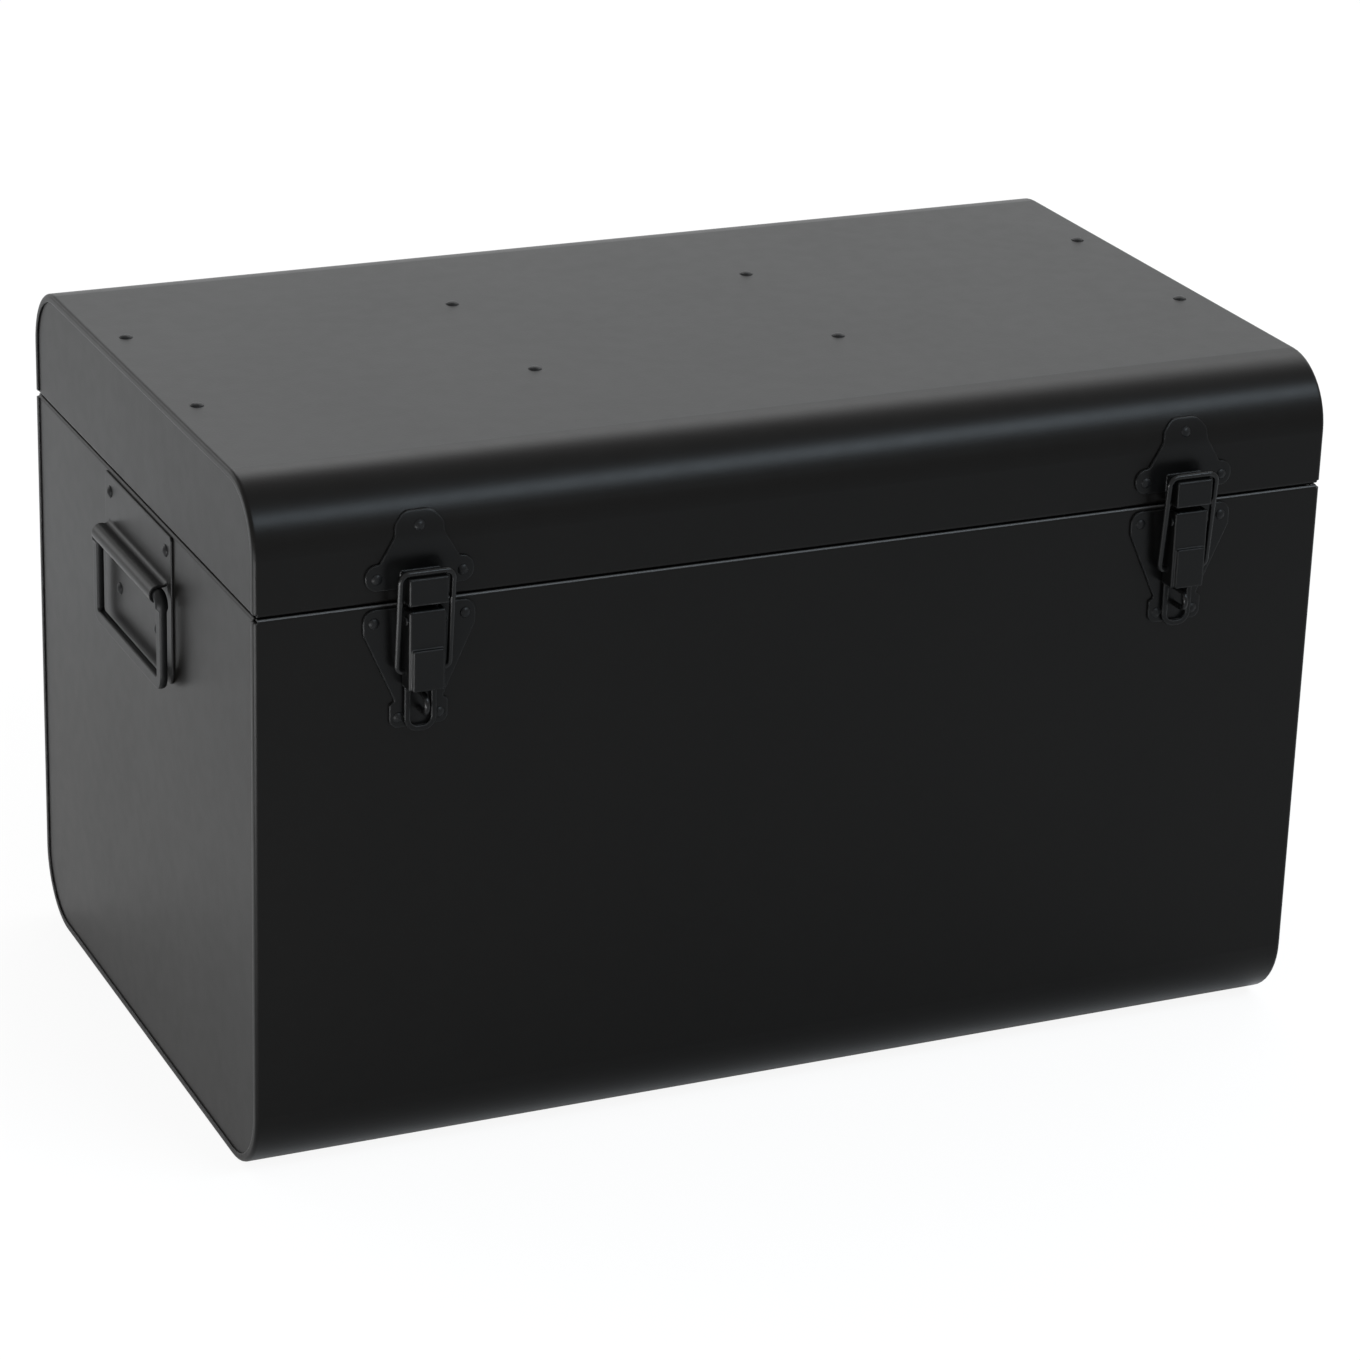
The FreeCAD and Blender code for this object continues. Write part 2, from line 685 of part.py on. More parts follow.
def pivot_ear(side):
    """Upright ear, wide at its root and round at the pin, inside one wall of the lever."""
    root = PIVOT_DROP + EAR_ROOT
    crown = PIVOT_OUT + EAR_RADIUS
    corners = [
        (0, -PIVOT_DROP + EAR_RADIUS, 0),
        (crown, -PIVOT_DROP + EAR_RADIUS, EAR_RADIUS - TINY),
        (crown, -PIVOT_DROP - EAR_RADIUS, EAR_RADIUS - TINY),
        (PIVOT_OUT - EAR_RADIUS, -PIVOT_DROP - EAR_RADIUS, EAR_RADIUS / 2),
        (LATCH_SHEET, -root, 0),
        (0, -root, 0),
    ]
    ear = side_prism(corners, EAR_SHEET / 2)
    ear.translate(Vector(side * EAR_MIDDLE, 0, 0))
    return ear


def latch_places():
    spots = [(PLATE_TOP_RIVET, PLATE_TOP_RIVET_DROP), (PLATE_FOOT_RIVET, PLATE_FOOT_RIVET_DROP)]
    return [
        (Vector(side * x, -LATCH_SHEET, -drop), Vector(0, -1, 0))
        for x, drop in spots
        for side in (-1, 1)
    ]


def latch_lever():
    """Hollow pressed lever: channel, raised thumb pad and a slotted tail."""
    back = LEVER_BACK
    channel = side_prism(
        [
            (back, -LEVER_BOTTOM, 0),
            (LEVER_FACE, -LEVER_BOTTOM, 0),
            (LEVER_FACE, -LEVER_TOP, LEVER_BEND),
            (back, -LEVER_TOP, LEVER_HEEL),
        ],
        LEVER_WIDTH / 2,
    )
    channel = channel.makeFillet(LEVER_BEND, front_edges(channel, LEVER_WIDTH / 2, LEVER_FACE))
    pad_face = LEVER_FACE + PAD_RISE
    pad = side_prism(
        [
            (LEVER_FACE - LEVER_BEND, -LEVER_BOTTOM, 0),
            (pad_face, -LEVER_BOTTOM, PAD_EDGE),
            (pad_face, -PAD_TOP, PAD_EDGE),
            (LEVER_FACE - LEVER_BEND, -PAD_TOP, 0),
        ],
        PAD_WIDTH / 2,
    )
    pad = pad.makeFillet(PAD_EDGE, front_edges(pad, PAD_WIDTH / 2, pad_face))
    floor = LEVER_SHEET - LEVER_BOTTOM
    hollow = side_prism(
        [
            (-OVERCUT, floor, 0),
            (LEVER_FACE - LEVER_SHEET, floor, 0),
            (LEVER_FACE - LEVER_SHEET, -LEVER_TOP - LEVER_SHEET, 0),
            (-OVERCUT, -LEVER_TOP - LEVER_SHEET, 0),
        ],
        LEVER_WIDTH / 2 - LEVER_SHEET,
    )
    pad_hollow = side_prism(
        [
            (LEVER_BACK, floor, 0),
            (pad_face - LEVER_SHEET, floor, 0),
            (pad_face - LEVER_SHEET, -PAD_TOP - LEVER_SHEET, 0),
            (LEVER_BACK, -PAD_TOP - LEVER_SHEET, 0),
        ],
        PAD_WIDTH / 2 - LEVER_SHEET,
    )
    lever = channel.fuse(pad).cut(hollow).cut(pad_hollow).fuse(lever_tail())
    for side in (-1, 1):
        lever = lever.cut(ear_slot(side))
    reach = LEVER_WIDTH
    lever = lever.cut(cylinder_x(PIVOT_RADIUS + RUNNING_FIT, reach, PIVOT_OUT, -PIVOT_DROP))
    lever = lever.cut(cylinder_x(BAIL_WIRE + RUNNING_FIT, reach, BAIL_OUT, -BAIL_DROP))
    return lever.removeSplitter()


def ear_slot(side):
    """Cutter for the slot in the lever's top wall that lets one ear pass as it swings."""
    slot = side_prism(
        [
            (0, -LEVER_TOP - 2 * LEVER_SHEET, 0),
            (LEVER_FACE - LEVER_SHEET, -LEVER_TOP - 2 * LEVER_SHEET, 0),
            (LEVER_FACE - LEVER_SHEET, OVERCUT, 0),
            (0, OVERCUT, 0),
        ],
        EAR_SHEET / 2 + SIDE_PLAY,
    )
    slot.translate(Vector(side * EAR_MIDDLE, 0, 0))
    return slot


def front_edges(solid, half_width, face):
    """Long front edges of a channel or pad, on both of its sides."""
    return [
        edge for edge in solid.Edges
        if all(abs(abs(v.X) - half_width) < TINY for v in edge.Vertexes)
        and all(abs(-v.Y - face) < TINY for v in edge.Vertexes)
    ]


def lever_tail():
    """Flat tongue with a round end, opened to a hoop that the padlock staple passes."""
    half = TAIL_WIDTH / 2
    round_end = half - LEVER_SHEET
    tongue = eased_plate(
        [
            (-half, LEVER_SHEET - LEVER_BOTTOM, 0),
            (half, LEVER_SHEET - LEVER_BOTTOM, 0),
            (half, -TAIL_BOTTOM, round_end),
            (-half, -TAIL_BOTTOM, round_end),
        ],
        LEVER_SHEET,
    )
    tongue.translate(Vector(0, -TAIL_BACK, 0))
    side = half - TAIL_RIM
    slot_end = round_end - TAIL_RIM
    slot = plate(
        [
            (-side, -SLOT_TOP, LEVER_SHEET),
            (side, -SLOT_TOP, LEVER_SHEET),
            (side, -SLOT_BOTTOM, slot_end),
            (-side, -SLOT_BOTTOM, slot_end),
        ],
        3 * LEVER_SHEET,
        TAIL_BACK - LEVER_SHEET,
    )
    return tongue.cut(slot)


def latch_pin():
    """Headed pin through the lever's walls and the latch plate's ears."""
    half = LEVER_WIDTH / 2 + SIDE_PLAY
    pin = cylinder_x(PIVOT_RADIUS, half, PIVOT_OUT, -PIVOT_DROP)
    for side in (-1, 1):
        start = Vector(side * half, -PIVOT_OUT, -PIVOT_DROP)
        along = Vector(side, 0, 0)
        pin = pin.fuse(Part.makeCylinder(PIVOT_HEAD, PIVOT_HEAD_HEIGHT, start, along))
    return pin.removeSplitter()


def latch_bail():
    """Wire loop whose ends turn into the lever and whose bar lies over the catch block."""
    bar_height = BLOCK_TOP + BAIL_SEAT + BAIL_WIRE
    rise = bar_height + BAIL_DROP
    lean = BAIL_BAR_OUT - BAIL_OUT
    length = math.hypot(rise, lean)
    end = LEVER_WIDTH / 2 - BAIL_END_REACH
    bail = rod(
        [
            (-end, 0, 0),
            (-BAIL_HALF, 0, BAIL_END_BEND),
            (-BAIL_HALF, length, BAIL_TOP_BEND),
            (BAIL_HALF, length, BAIL_TOP_BEND),
            (BAIL_HALF, 0, BAIL_END_BEND),
            (end, 0, 0),
        ],
        BAIL_WIRE,
    )
    bail.rotate(Vector(0, 0, 0), Vector(1, 0, 0), math.degrees(math.atan2(lean, rise)))
    bail.translate(Vector(0, -BAIL_OUT, -BAIL_DROP))
    return bail


def padlock_staple():
    """Wire U that stands out of the latch plate through the lever's slot."""
    bend = (STAPLE_LOWER - STAPLE_UPPER) / 2 - TINY
    front = STAPLE_REACH - STAPLE_WIRE
    staple = rod(
        [
            (LATCH_SHEET, -STAPLE_UPPER, 0),
            (front, -STAPLE_UPPER, bend),
            (front, -STAPLE_LOWER, bend),
            (LATCH_SHEET, -STAPLE_LOWER, 0),
        ],
        STAPLE_WIRE,
    )
    staple.rotate(Vector(0, 0, 0), Vector(0, 0, 1), -90)
    return staple


# Drop handles, built against the plane y = 0 with the base's upper edge at z = 0
def handle_plate():
    """Riveted plate whose tongue is bent out and rolled round the handle's bar."""
    half = HANDLE_WIDTH / 2
    sheet = eased_plate(
        [
            (-half, -HANDLE_TOP, HANDLE_TOP_CORNER),
            (half, -HANDLE_TOP, HANDLE_TOP_CORNER),
            (half, -HANDLE_BOTTOM, HANDLE_LOW_CORNER),
            (-half, -HANDLE_BOTTOM, HANDLE_LOW_CORNER),
        ],
        HANDLE_SHEET,
    )
    inner = BAR_RADIUS + BAR_PLAY
    outer = inner + HANDLE_SHEET
    middle = inner + HANDLE_SHEET / 2
    bend_out = HANDLE_SHEET / 2 + EYE_BEND
    across = BAR_OUT - bend_out
    bend_rise = math.sqrt((EYE_BEND + middle) ** 2 - across ** 2)
    bend_height = bend_rise - BAR_DROP
    meet = math.degrees(math.atan2(bend_rise, -across))
    half_sheet = HANDLE_SHEET / 2
    window_low = -BAR_DROP - EYE_WINDOW
    window = plate(
        [
            (-EYE_HALF, bend_height, 0),
            (EYE_HALF, bend_height, 0),
            (EYE_HALF, window_low, 0),
            (-EYE_HALF, window_low, 0),
        ],
        3 * HANDLE_SHEET,
        -HANDLE_SHEET,
    )
    sheet = sheet.cut(window)
    bend_in = EYE_BEND - half_sheet
    bend_ex = EYE_BEND + half_sheet
    bend = ring_sector(bend_out, bend_height, bend_in, bend_ex, 180, 180 + meet)
    roll = ring_sector(BAR_OUT, -BAR_DROP, inner, outer, EYE_END, meet)
    for face in (bend, roll):
        face.rotate(Vector(0, 0, 0), Vector(0, 0, 1), -90)
        face.translate(Vector(-EYE_HALF, 0, 0))
        sheet = sheet.fuse(face.extrude(Vector(2 * EYE_HALF, 0, 0)))
    return sheet.removeSplitter()


def grip_flat(side):
    """Cutter for the flat on the outer (1) or inner (-1) face of the loop below its eye."""
    face = BAR_OUT + side * GRIP_THICKNESS / 2
    beyond = BAR_OUT + 2 * side * BAR_RADIUS
    top = -BAR_DROP - BAR_RADIUS - BAR_PLAY - HANDLE_SHEET
    low = -BAR_DROP - BAR_REACH - 2 * BAR_RADIUS
    corners = [(face, low, 0), (beyond, low, 0), (beyond, top, 0), (face, top, GRIP_RUNOUT)]
    return side_prism(corners, HANDLE_WIDTH)


def handle_loop():
    """Closed loop of round bar, hung in the rolled eye and pressed flat below it."""
    low = -BAR_DROP - BAR_REACH
    loop = rod(
        [
            (-BAR_HALF, -BAR_DROP, BAR_CORNER),
            (BAR_HALF, -BAR_DROP, BAR_CORNER),
            (BAR_HALF, low, BAR_CORNER),
            (-BAR_HALF, low, BAR_CORNER),
        ],
        BAR_RADIUS,
        True,
    )
    loop.translate(Vector(0, -BAR_OUT, 0))
    return loop.cut(grip_flat(1)).cut(grip_flat(-1))


def handle_places():
    half = HANDLE_WIDTH / 2
    spots = [
        (half - HANDLE_UPPER_RIVET_INSET, HANDLE_UPPER_RIVET_DROP),
        (half - HANDLE_LOWER_RIVET_INSET, HANDLE_LOWER_RIVET_DROP),
    ]
    return [
        (Vector(side * x, -HANDLE_SHEET, -drop), Vector(0, -1, 0))
        for x, drop in spots
        for side in (-1, 1)
    ]


def on_end(solid, side):
    """Places a handle piece on the left (-1) or right (1) end panel."""
    solid.rotate(Vector(0, 0, 0), Vector(0, 0, 1), 90 * side)
    solid.translate(Vector(side * (WIDTH / 2 - SHEET), 0, BASE_HEIGHT))
    return solid


def places_on_end(places, side):
    shift = Vector(side * (WIDTH / 2 - SHEET), 0, BASE_HEIGHT)
    turn = FreeCAD.Rotation(Vector(0, 0, 1), 90 * side)
    return [(turn.multVec(seat) + shift, turn.multVec(normal)) for seat, normal in places]


# The whole chest
def chest():
    """All pieces by name."""
    sides = {"left": -1, "right": 1}
    parts = {}
    catch_side_spots, catch_top_spots, latch_spots, handle_spots = [], [], [], []
    base_hinge_spots, lid_hinge_spots = [], []
    for name, side in sides.items():
        latch_x = side * LATCH_SPREAD
        hinge_x = side * HINGE_SPREAD
        sides_here = places_on_front(catch_side_places(), latch_x)
        top_here = places_on_front(catch_top_places(), latch_x)
        latch_here = places_on_front(latch_places(), latch_x)
        base_leaf_here = places_on_back(hinge_leaf_places(), hinge_x, False)
        lid_leaf_here = places_on_back(hinge_leaf_places(), hinge_x, True)
        handle_here = places_on_end(handle_places(), side)
        catch_side_spots += sides_here
        catch_top_spots += top_here
        latch_spots += latch_here
        base_hinge_spots += base_leaf_here
        lid_hinge_spots += lid_leaf_here
        handle_spots += handle_here

        panel = end_panel(BASE_HEIGHT, BASE_EDGE_RADIUS, side)
        parts["base_end_" + name] = pierced(panel, handle_here)
        parts["lid_end_" + name] = as_lid(end_panel(LID_HEIGHT, LID_EDGE_RADIUS, side))
        catch = on_front(catch_plate(), latch_x)
        parts["catch_plate_" + name] = pierced(catch, sides_here + top_here)
        parts["latch_plate_" + name] = pierced(on_front(latch_plate(), latch_x), latch_here)
        parts["latch_lever_" + name] = on_front(latch_lever(), latch_x)
        parts["latch_pin_" + name] = on_front(latch_pin(), latch_x)
        parts["latch_bail_" + name] = on_front(latch_bail(), latch_x)
        parts["padlock_staple_" + name] = on_front(padlock_staple(), latch_x)
        base_leaf = on_back(hinge_leaf(0, PIN_FIT), hinge_x)
        parts["hinge_base_leaf_" + name] = pierced(base_leaf, base_leaf_here)
        parts["hinge_lid_leaf_" + name] = pierced(on_back(lid_leaf(), hinge_x), lid_leaf_here)
        parts["hinge_pin_" + name] = on_back(hinge_pin(), hinge_x)
        parts["handle_plate_" + name] = pierced(on_end(handle_plate(), side), handle_here)
        parts["handle_loop_" + name] = on_end(handle_loop(), side)

    base_holes = latch_spots + base_hinge_spots
    lid_holes = lid_rivet_places() + catch_side_spots + catch_top_spots + lid_hinge_spots
    parts["base_wrap"] = pierced(wrap(BASE_HEIGHT, BASE_EDGE_RADIUS), base_holes)
    parts["lid_wrap"] = pierced(as_lid(wrap(LID_HEIGHT, LID_EDGE_RADIUS)), lid_holes)
    parts["base_rim"] = base_rim()
    parts["lid_rail_front"] = pierced(lid_rail(RAIL_FRONT_Y), lid_rivet_places())
    parts["lid_rail_rear"] = pierced(lid_rail(RAIL_REAR_Y), lid_rivet_places())

    catch_grip = LATCH_SHEET + SHEET
    groups = {
        "lid_rivets": rivets(lid_rivet_places(), SHEET + RAIL_SHEET, LID_HEAD),
        "catch_rivets": rivets(catch_side_spots, catch_grip, LATCH_HEAD)
        + rivets(catch_top_spots, catch_grip + CURVE_SAG, LATCH_HEAD),
        "latch_plate_rivets": rivets(latch_spots, LATCH_SHEET + SHEET, LATCH_HEAD),
        "hinge_base_rivets": rivets(base_hinge_spots, HINGE_SHEET + SHEET, HINGE_HEAD),
        "hinge_lid_rivets": rivets(lid_hinge_spots, HINGE_SHEET + SHEET, HINGE_HEAD),
        "handle_rivets": rivets(handle_spots, HANDLE_SHEET + SHEET, HANDLE_HEAD),
    }
    parts.update({name: Part.makeCompound(solids) for name, solids in groups.items()})
    return parts


os.makedirs("parts", exist_ok=True)
for node, shape in chest().items():
    shape.exportStep("parts/" + node + ".step")
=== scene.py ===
import math
import bpy
from mathutils import Matrix, Vector

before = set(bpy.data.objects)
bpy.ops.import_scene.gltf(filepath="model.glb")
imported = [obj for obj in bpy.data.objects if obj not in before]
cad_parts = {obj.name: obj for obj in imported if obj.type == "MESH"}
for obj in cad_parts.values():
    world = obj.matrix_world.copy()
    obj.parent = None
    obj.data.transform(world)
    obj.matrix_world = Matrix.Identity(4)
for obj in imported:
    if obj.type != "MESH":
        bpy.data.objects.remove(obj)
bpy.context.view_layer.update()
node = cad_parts

# Studio room and paper: a white room, and a wide sheet of white paper under the chest.
# Eye and mirrored rays meet both near plain white; the paper is matt, and keeps
# the soft contact shadow where the chest stands.
scene = bpy.context.scene
scene.view_settings.view_transform = "Standard"

ROOM_WHITE = 1.0
ROOM_FILL = 0.7
PAPER_SIDE = 24.0
PAPER_MIDDLE = (0, 4.0, 0)
PAPER_COLOUR = (0.9, 0.9, 0.9, 1)
GLOW_SEEN = 0.25
GLOW_TO_EYE = 0.65


def put(tree, kind, settings=None, inputs=None):
    """Adds a shader node; an input may be a plain value or the socket that feeds it."""
    made = tree.nodes.new("ShaderNode" + kind)
    for key, value in (settings or {}).items():
        setattr(made, key, value)
    for key, value in (inputs or {}).items():
        if isinstance(value, bpy.types.NodeSocket):
            tree.links.new(value, made.inputs[key])
        else:
            made.inputs[key].default_value = value
    return made


def calc(tree, operation, a, b):
    return put(tree, "Math", {"operation": operation}, {0: a, 1: b}).outputs[0]


def times(tree, a, b):
    return calc(tree, "MULTIPLY", a, b)


def plus(tree, a, b):
    return calc(tree, "ADD", a, b)


def empty_material(name):
    made = bpy.data.materials.new(name)
    made.use_nodes = True
    made.node_tree.nodes.clear()
    return made, made.node_tree


def seen_rays(tree):
    """1 for rays from the eye, for mirrored rays and for rays through glass."""
    path = put(tree, "LightPath").outputs
    both = calc(tree, "MAXIMUM", path["Is Camera Ray"], path["Is Glossy Ray"])
    return calc(tree, "MAXIMUM", both, path["Is Transmission Ray"])


room = bpy.data.worlds.new("white_room")
room.use_nodes = True
tree = room.node_tree
tree.nodes.clear()
level = put(tree, "MapRange", None,
            {"Value": seen_rays(tree), "To Min": ROOM_FILL, "To Max": ROOM_WHITE})
walls = put(tree, "Background", None, {"Color": (1, 1, 1, 1), "Strength": level.outputs[0]})
put(tree, "OutputWorld", None, {"Surface": walls.outputs[0]})
scene.world = room

bpy.ops.object.select_all(action="DESELECT")
bpy.ops.mesh.primitive_plane_add(size=PAPER_SIDE, location=PAPER_MIDDLE)
floor = bpy.context.object
floor.name = "paper_sweep"
paper, tree = empty_material("white_paper")
sheet = put(tree, "BsdfDiffuse", None, {"Color": PAPER_COLOUR})
glow = put(tree, "Emission", None, {"Color": (1, 1, 1, 1), "Strength": 1.0})
eye_ray = put(tree, "LightPath").outputs["Is Camera Ray"]
share = plus(tree, times(tree, seen_rays(tree), GLOW_SEEN), times(tree, eye_ray, GLOW_TO_EYE))
blend = put(tree, "MixShader", None, {0: share, 1: sheet.outputs[0], 2: glow.outputs[0]})
put(tree, "OutputMaterial", None, {"Surface": blend.outputs[0]})
floor.data.materials.append(paper)

# Studio lamps: five soft rectangular lamps, all outside the picture.
# Those behind and at the left lie in the mirror of the top and the end, the front strip
# draws the band along the lid's bend, and the low strip draws the rims of the latches.
LAMP_WHITE = (0.98, 0.99, 1.0)
LAMP_COOL = (0.9, 0.96, 1.0)
LAMP_BLUE = (0.76, 0.89, 1.0)
CHEST_TOP = (0.0, 0.0, 0.36)


def soft_lamp(name, at, towards, width, height, radiance, colour):
    """Rectangular lamp of a given brightness that faces a point."""
    lamp = bpy.data.lights.new(name, "AREA")
    lamp.shape = "RECTANGLE"
    lamp.size = width
    lamp.size_y = height
    lamp.energy = 4.0 * width * height * radiance
    lamp.color = colour
    holder = bpy.data.objects.new(name, lamp)
    scene.collection.objects.link(holder)
    holder.location = at
    holder.rotation_euler = (Vector(towards) - Vector(at)).to_track_quat("-Z", "Y").to_euler()


soft_lamp("back_softbox", at=(1.0, 1.5, 2.2), towards=CHEST_TOP,
          width=3.2, height=1.2, radiance=2.5, colour=LAMP_WHITE)
soft_lamp("back_low_softbox", at=(1.16, 2.53, 1.2), towards=CHEST_TOP,
          width=3.4, height=1.6, radiance=0.25, colour=LAMP_COOL)
soft_lamp("left_softbox", at=(-2.3, 3.0, 1.3), towards=(-0.3, 0.0, 0.2),
          width=2.4, height=1.6, radiance=1.45, colour=LAMP_WHITE)
soft_lamp("left_strip", at=(-0.8, -0.45, 0.08), towards=(-0.2, -0.19, 0.27),
          width=0.8, height=0.16, radiance=13.0, colour=LAMP_WHITE)
soft_lamp("front_strip", at=(0.93, -1.68, 1.95), towards=(0.0, -0.17, 0.36),
          width=1.8, height=0.55, radiance=10.8, colour=LAMP_BLUE)

# Camera: a long lens, above the chest and to the left of its front.
# Its place, turn and lens are worked out from the corners of the chest in the photograph.
EYE_PLACE = (-0.97807, -2.16418, 1.128)
EYE_TURN = -24.58
EYE_DIP = 21.998
EYE_ROLL = 1.8315
eye = bpy.data.cameras.new("eye")
eye.sensor_width = 36.0
eye.lens = 122.36
eye.clip_end = 100.0
camera = bpy.data.objects.new("eye", eye)
scene.collection.objects.link(camera)
camera.matrix_world = (
    Matrix.Translation(EYE_PLACE)
    @ Matrix.Rotation(math.radians(EYE_TURN), 4, "Z")
    @ Matrix.Rotation(math.radians(90.0 - EYE_DIP), 4, "X")
    @ Matrix.Rotation(math.radians(EYE_ROLL), 4, "Z")
)
scene.camera = camera

# Lid and end panels: a bent lid of thin steel sheet, and a dished panel in each end.
# They are pressed and closed first, then sprayed satin black, so that the coat shows a fine orange
# peel; along the bends it is lighter, partly as thin coat and partly as a painted highlight.


def new_group(name, sockets_in, sockets_out):
    """Empty shader group with named sockets; returns its tree, inputs and output node."""
    tree = bpy.data.node_groups.new(name, "ShaderNodeTree")
    for label, kind, start in sockets_in:
        made = tree.interface.new_socket(label, in_out="INPUT", socket_type="NodeSocket" + kind)
        made.default_value = start
    for label, kind in sockets_out:
        tree.interface.new_socket(label, in_out="OUTPUT", socket_type="NodeSocket" + kind)
    return tree, tree.nodes.new("NodeGroupInput").outputs, tree.nodes.new("NodeGroupOutput")


def place_on(tree):
    return put(tree, "TexCoord").outputs["Object"]


def noise(tree, place, size, detail=3.0, rough=0.5):
    """Soft random value from 0 to 1 whose blotches are about size metres wide."""
    made = put(tree, "TexNoise", None, {"Vector": place, "Detail": detail, "Roughness": rough})
    if isinstance(size, bpy.types.NodeSocket):
        tree.links.new(calc(tree, "DIVIDE", 1.0, size), made.inputs["Scale"])
    else:
        made.inputs["Scale"].default_value = 1.0 / size
    return made.outputs["Fac"]


def ramp(tree, value, low, high, to_low=0.0, to_high=1.0):
    """Smooth step of a value from one range to another."""
    return put(tree, "MapRange", {"interpolation_type": "SMOOTHSTEP"},
               {"Value": value, "From Min": low, "From Max": high,
                "To Min": to_low, "To Max": to_high}).outputs[0]


# Sprayed coat: fine orange peel, slow waves of the sheet, and a faint mottle in tone and gloss
coat_group, given, result = new_group(
    "sprayed_coat",
    [("Colour", "Color", (0.005, 0.005, 0.005, 1)), ("Gloss", "Float", 0.4), ("Peel", "Float", 0.0012)],
    [("Colour", "Color"), ("Roughness", "Float"), ("Height", "Float")])
tree = coat_group
here = place_on(tree)
mottle = noise(tree, here, 0.09, 4.0)
cloud = noise(tree, here, 0.011)
shade = plus(tree, ramp(tree, mottle, 0.25, 0.75, 0.92, 1.06),
             ramp(tree, cloud, 0.3, 0.7, -0.04, 0.04))
tone = put(tree, "VectorMath", {"operation": "SCALE"}, {0: given["Colour"], "Scale": shade})
sheen = plus(tree, given["Gloss"], ramp(tree, mottle, 0.25, 0.75, 0.008, -0.008))
sheen = plus(tree, sheen, ramp(tree, cloud, 0.3, 0.7, -0.01, 0.01))
peel = noise(tree, here, given["Peel"], 2.0)
wave = times(tree, noise(tree, here, 0.16, 1.0), 6.0)
tree.links.new(tone.outputs[0], result.inputs["Colour"])
tree.links.new(sheen, result.inputs["Roughness"])
tree.links.new(plus(tree, peel, wave), result.inputs["Height"])

# Rubbed edges: a sharp corner is a little eased, and its coat is thin, patchy and polished; the same
# mask also lets in a lighter edge colour that is partly a painted highlight along the rims
wear_and_highlight_group, given, result = new_group(
    "rubbed_highlit_edges", [("Width", "Float", 0.001), ("Patch", "Float", 0.004)],
    [("Mask", "Float"), ("Normal", "Vector")])
tree = wear_and_highlight_group
eased = put(tree, "Bevel", {"samples": 6}, {"Radius": given["Width"]}).outputs[0]
plain = put(tree, "NewGeometry").outputs["Normal"]
turn = put(tree, "VectorMath", {"operation": "DOT_PRODUCT"}, {0: eased, 1: plain})
edge = ramp(tree, turn.outputs["Value"], 0.985, 0.86)
blots = noise(tree, place_on(tree), given["Patch"], 5.0, 0.6)
patchy = ramp(tree, blots, 0.32, 0.68, 0.25, 1.0)
tree.links.new(times(tree, edge, patchy), result.inputs["Mask"])
tree.links.new(eased, result.inputs["Normal"])

# Settled dust: pale specks and a thin film on faces that look up
dust_group, given, result = new_group("settled_dust", [("Amount", "Float", 1.0)], [("Mask", "Float")])
tree = dust_group
here = place_on(tree)
facing = put(tree, "NewGeometry").outputs["Normal"]
lying = ramp(tree, put(tree, "SeparateXYZ", None, {0: facing}).outputs["Z"], 0.55, 0.98)
film = ramp(tree, noise(tree, here, 0.05, 6.0, 0.65), 0.4, 0.75)
cells = put(tree, "TexVoronoi", None, {"Vector": here, "Scale": 260.0, "Randomness": 1.0})
specks = times(tree, ramp(tree, cells.outputs["Distance"], 0.09, 0.03),
               ramp(tree, noise(tree, here, 0.02, 2.0), 0.5, 0.62))
mask = times(tree, plus(tree, times(tree, film, 0.35), specks), times(tree, lying, given["Amount"]))
tree.links.new(mask, result.inputs["Mask"])

DUST_COLOUR = (0.12, 0.118, 0.112, 1)
RELIEF = 0.00012


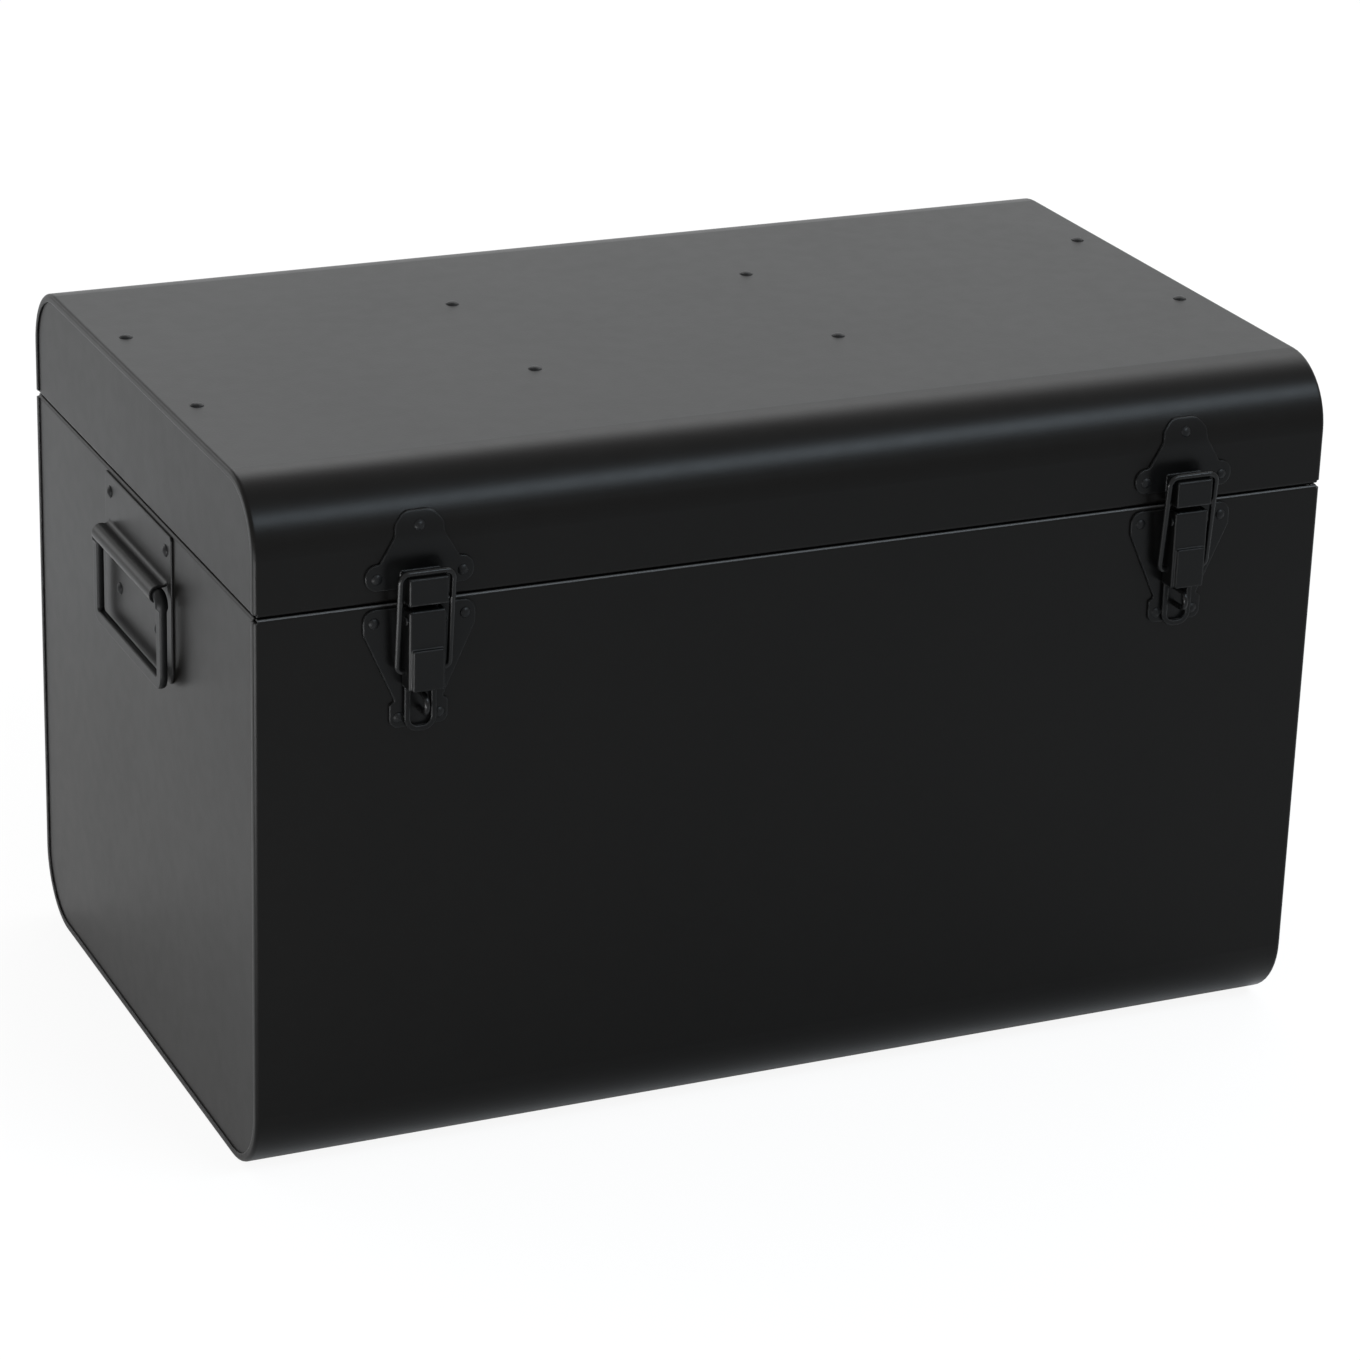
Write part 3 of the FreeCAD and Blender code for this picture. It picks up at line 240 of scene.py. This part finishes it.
def coated(name, colour, gloss, peel, bump, rub_width, edge_wear_highlight_colour, rub_gloss, dust,
           index=1.2, highlight_lip=None):
    """Black coat on steel: colour and gloss from the spray, lighter edges that are partly worn coat and
    partly painted highlight, and a little dust.

    The height of a lip may be given: along the outer corner of that upper edge a bright line is painted
    as a highlight.
    """
    made, tree = empty_material(name)
    coat = put(tree, "Group", {"node_tree": coat_group},
               {"Colour": colour, "Gloss": gloss, "Peel": peel}).outputs
    edges = put(tree, "Group", {"node_tree": wear_and_highlight_group}, {"Width": rub_width}).outputs
    film = put(tree, "Group", {"node_tree": dust_group}, {"Amount": dust}).outputs["Mask"]
    edge_wear_and_highlight = edges["Mask"]
    if highlight_lip is not None:
        # Painted highlight: a thin band just under the top of the lip gets the lighter edge colour, as
        # the highlight of the rolled edge.
        height = put(tree, "SeparateXYZ", None, {0: place_on(tree)}).outputs["Z"]
        painted_lip_highlight = times(tree, ramp(tree, height, highlight_lip - 0.0011, highlight_lip - 0.0007),
                     ramp(tree, height, highlight_lip - 0.0001, highlight_lip - 0.0004))
        edge_wear_and_highlight = calc(tree, "MAXIMUM", edge_wear_and_highlight, painted_lip_highlight)
    # Painted highlight: the lighter edge colour mixed in here is partly worn coat and partly a
    # highlight painted on the rims.
    worn_and_highlit = put(tree, "Mix", {"data_type": "RGBA"},
               {"Factor": edge_wear_and_highlight, 6: coat["Colour"], 7: edge_wear_highlight_colour})
    dusty = put(tree, "Mix", {"data_type": "RGBA"},
                {"Factor": film, 6: worn_and_highlit.outputs[2], 7: DUST_COLOUR})
    sheen = put(tree, "Mix", {"data_type": "FLOAT"},
                {"Factor": edge_wear_and_highlight, 2: coat["Roughness"], 3: rub_gloss})
    dull = plus(tree, sheen.outputs[0], times(tree, film, 0.3))
    relief = put(tree, "Bump", None,
                 {"Strength": bump, "Distance": RELIEF,
                  "Height": coat["Height"], "Normal": edges["Normal"]})
    skin = put(tree, "BsdfPrincipled", None,
               {"Base Color": dusty.outputs[2], "Roughness": dull,
                "Normal": relief.outputs[0], "IOR": index})
    put(tree, "OutputMaterial", None, {"Surface": skin.outputs[0]})
    return made


def finish_with(material, *names):
    for name in names:
        for slot in node[name].material_slots:
            slot.material = material


body_black = (0.0015, 0.0013, 0.0011, 1)
body_coat = coated("body_satin_black", body_black, gloss=0.33, peel=0.0011, bump=0.3,
                   rub_width=0.0012, edge_wear_highlight_colour=(0.012, 0.012, 0.0125, 1), rub_gloss=0.28,
                   dust=0.008)
finish_with(body_coat, "base_end_left", "base_end_right",
            "lid_wrap", "lid_end_left", "lid_end_right")

# Base wrap: one sheet bent round the front, the bottom and the back, with a rolled upper edge.
# It has the same satin black, but its edges take a lighter edge colour, and a bright line painted along
# its lip, where the lid closes, stands in for the highlight of the rolled edge.
base_lip = max(corner.co.z for corner in node["base_wrap"].data.vertices)
base_coat = coated("base_wrap_black", body_black, gloss=0.33, peel=0.0011, bump=0.3,
                   rub_width=0.0012, edge_wear_highlight_colour=(0.05, 0.0503, 0.0507, 1), rub_gloss=0.3,
                   dust=0.008, highlight_lip=base_lip)
finish_with(base_coat, "base_wrap")

# Inner rim and lid rails: folded steel strips inside the chest.
# The rim stands up into the lid and the rails stiffen its top; both got one thin, dull spray.
inner_coat = coated("inner_thin_black", (0.006, 0.006, 0.0061, 1), gloss=0.52, peel=0.0016, bump=0.5,
                    rub_width=0.001, edge_wear_highlight_colour=(0.03, 0.03, 0.03, 1), rub_gloss=0.35,
                    dust=0.05)
finish_with(inner_coat, "base_rim", "lid_rail_front", "lid_rail_rear")

# Rivets: steel dome heads that hold the rails, the latches, the hinges and the handles.
# They are closed before spraying, so the black coat runs over them.
rivet_coat = coated("rivet_black", (0.0044, 0.0045, 0.0047, 1), gloss=0.38, peel=0.0008, bump=0.3,
                    rub_width=0.0006, edge_wear_highlight_colour=(0.014, 0.014, 0.0145, 1), rub_gloss=0.28,
                    dust=0.02)
finish_with(rivet_coat, "lid_rivets", "catch_rivets", "latch_plate_rivets",
            "hinge_base_rivets", "hinge_lid_rivets", "handle_rivets")

# Hinges: two pressed steel leaves rolled round a turned pin, at each side of the back.
# They are riveted on and black like the rest.
hinge_coat = coated("hinge_black", (0.0046, 0.0047, 0.0049, 1), gloss=0.36, peel=0.0009, bump=0.3,
                    rub_width=0.0008, edge_wear_highlight_colour=(0.02, 0.02, 0.02, 1), rub_gloss=0.26,
                    dust=0.03)
for side in ("left", "right"):
    finish_with(hinge_coat, "hinge_base_leaf_" + side, "hinge_lid_leaf_" + side, "hinge_pin_" + side)

# Draw latches: a stamped catch plate on the lid, and a stamped plate with ears on the base.
# A pressed lever turns on a pin in the ears and carries a bail of spring wire; a bent wire
# staple for a padlock stands through the lever's tail.
latch_coat = coated("latch_black", (0.002, 0.002, 0.002, 1), gloss=0.3, peel=0.0009, bump=0.3,
                    rub_width=0.0013, edge_wear_highlight_colour=(0.03, 0.0303, 0.0306, 1), rub_gloss=0.26,
                    dust=0.02)
wire_coat = coated("bail_wire_black", (0.003, 0.003, 0.003, 1), gloss=0.26, peel=0.0006, bump=0.2,
                   rub_width=0.0004, edge_wear_highlight_colour=(0.02, 0.0205, 0.021, 1), rub_gloss=0.22,
                   dust=0.0, index=1.25)
for side in ("left", "right"):
    finish_with(latch_coat, "catch_plate_" + side, "latch_plate_" + side,
                "latch_lever_" + side, "latch_pin_" + side)
    finish_with(wire_coat, "latch_bail_" + side, "padlock_staple_" + side)

# Drop handles: a steel plate riveted to each end, its tongue rolled to an eye.
# A closed loop of round bar, pressed flat below the eye, hangs in it.
handle_coat = coated("handle_black", (0.0034, 0.0033, 0.0032, 1), gloss=0.33, peel=0.001, bump=0.3,
                     rub_width=0.0008, edge_wear_highlight_colour=(0.016, 0.016, 0.0165, 1), rub_gloss=0.26,
                     dust=0.02)
bar_coat = coated("handle_bar_black", (0.0046, 0.0047, 0.0048, 1), gloss=0.36, peel=0.0009, bump=0.25,
                  rub_width=0.0009, edge_wear_highlight_colour=(0.016, 0.016, 0.016, 1), rub_gloss=0.33,
                  dust=0.0)
for side in ("left", "right"):
    finish_with(handle_coat, "handle_plate_" + side)
    finish_with(bar_coat, "handle_loop_" + side)
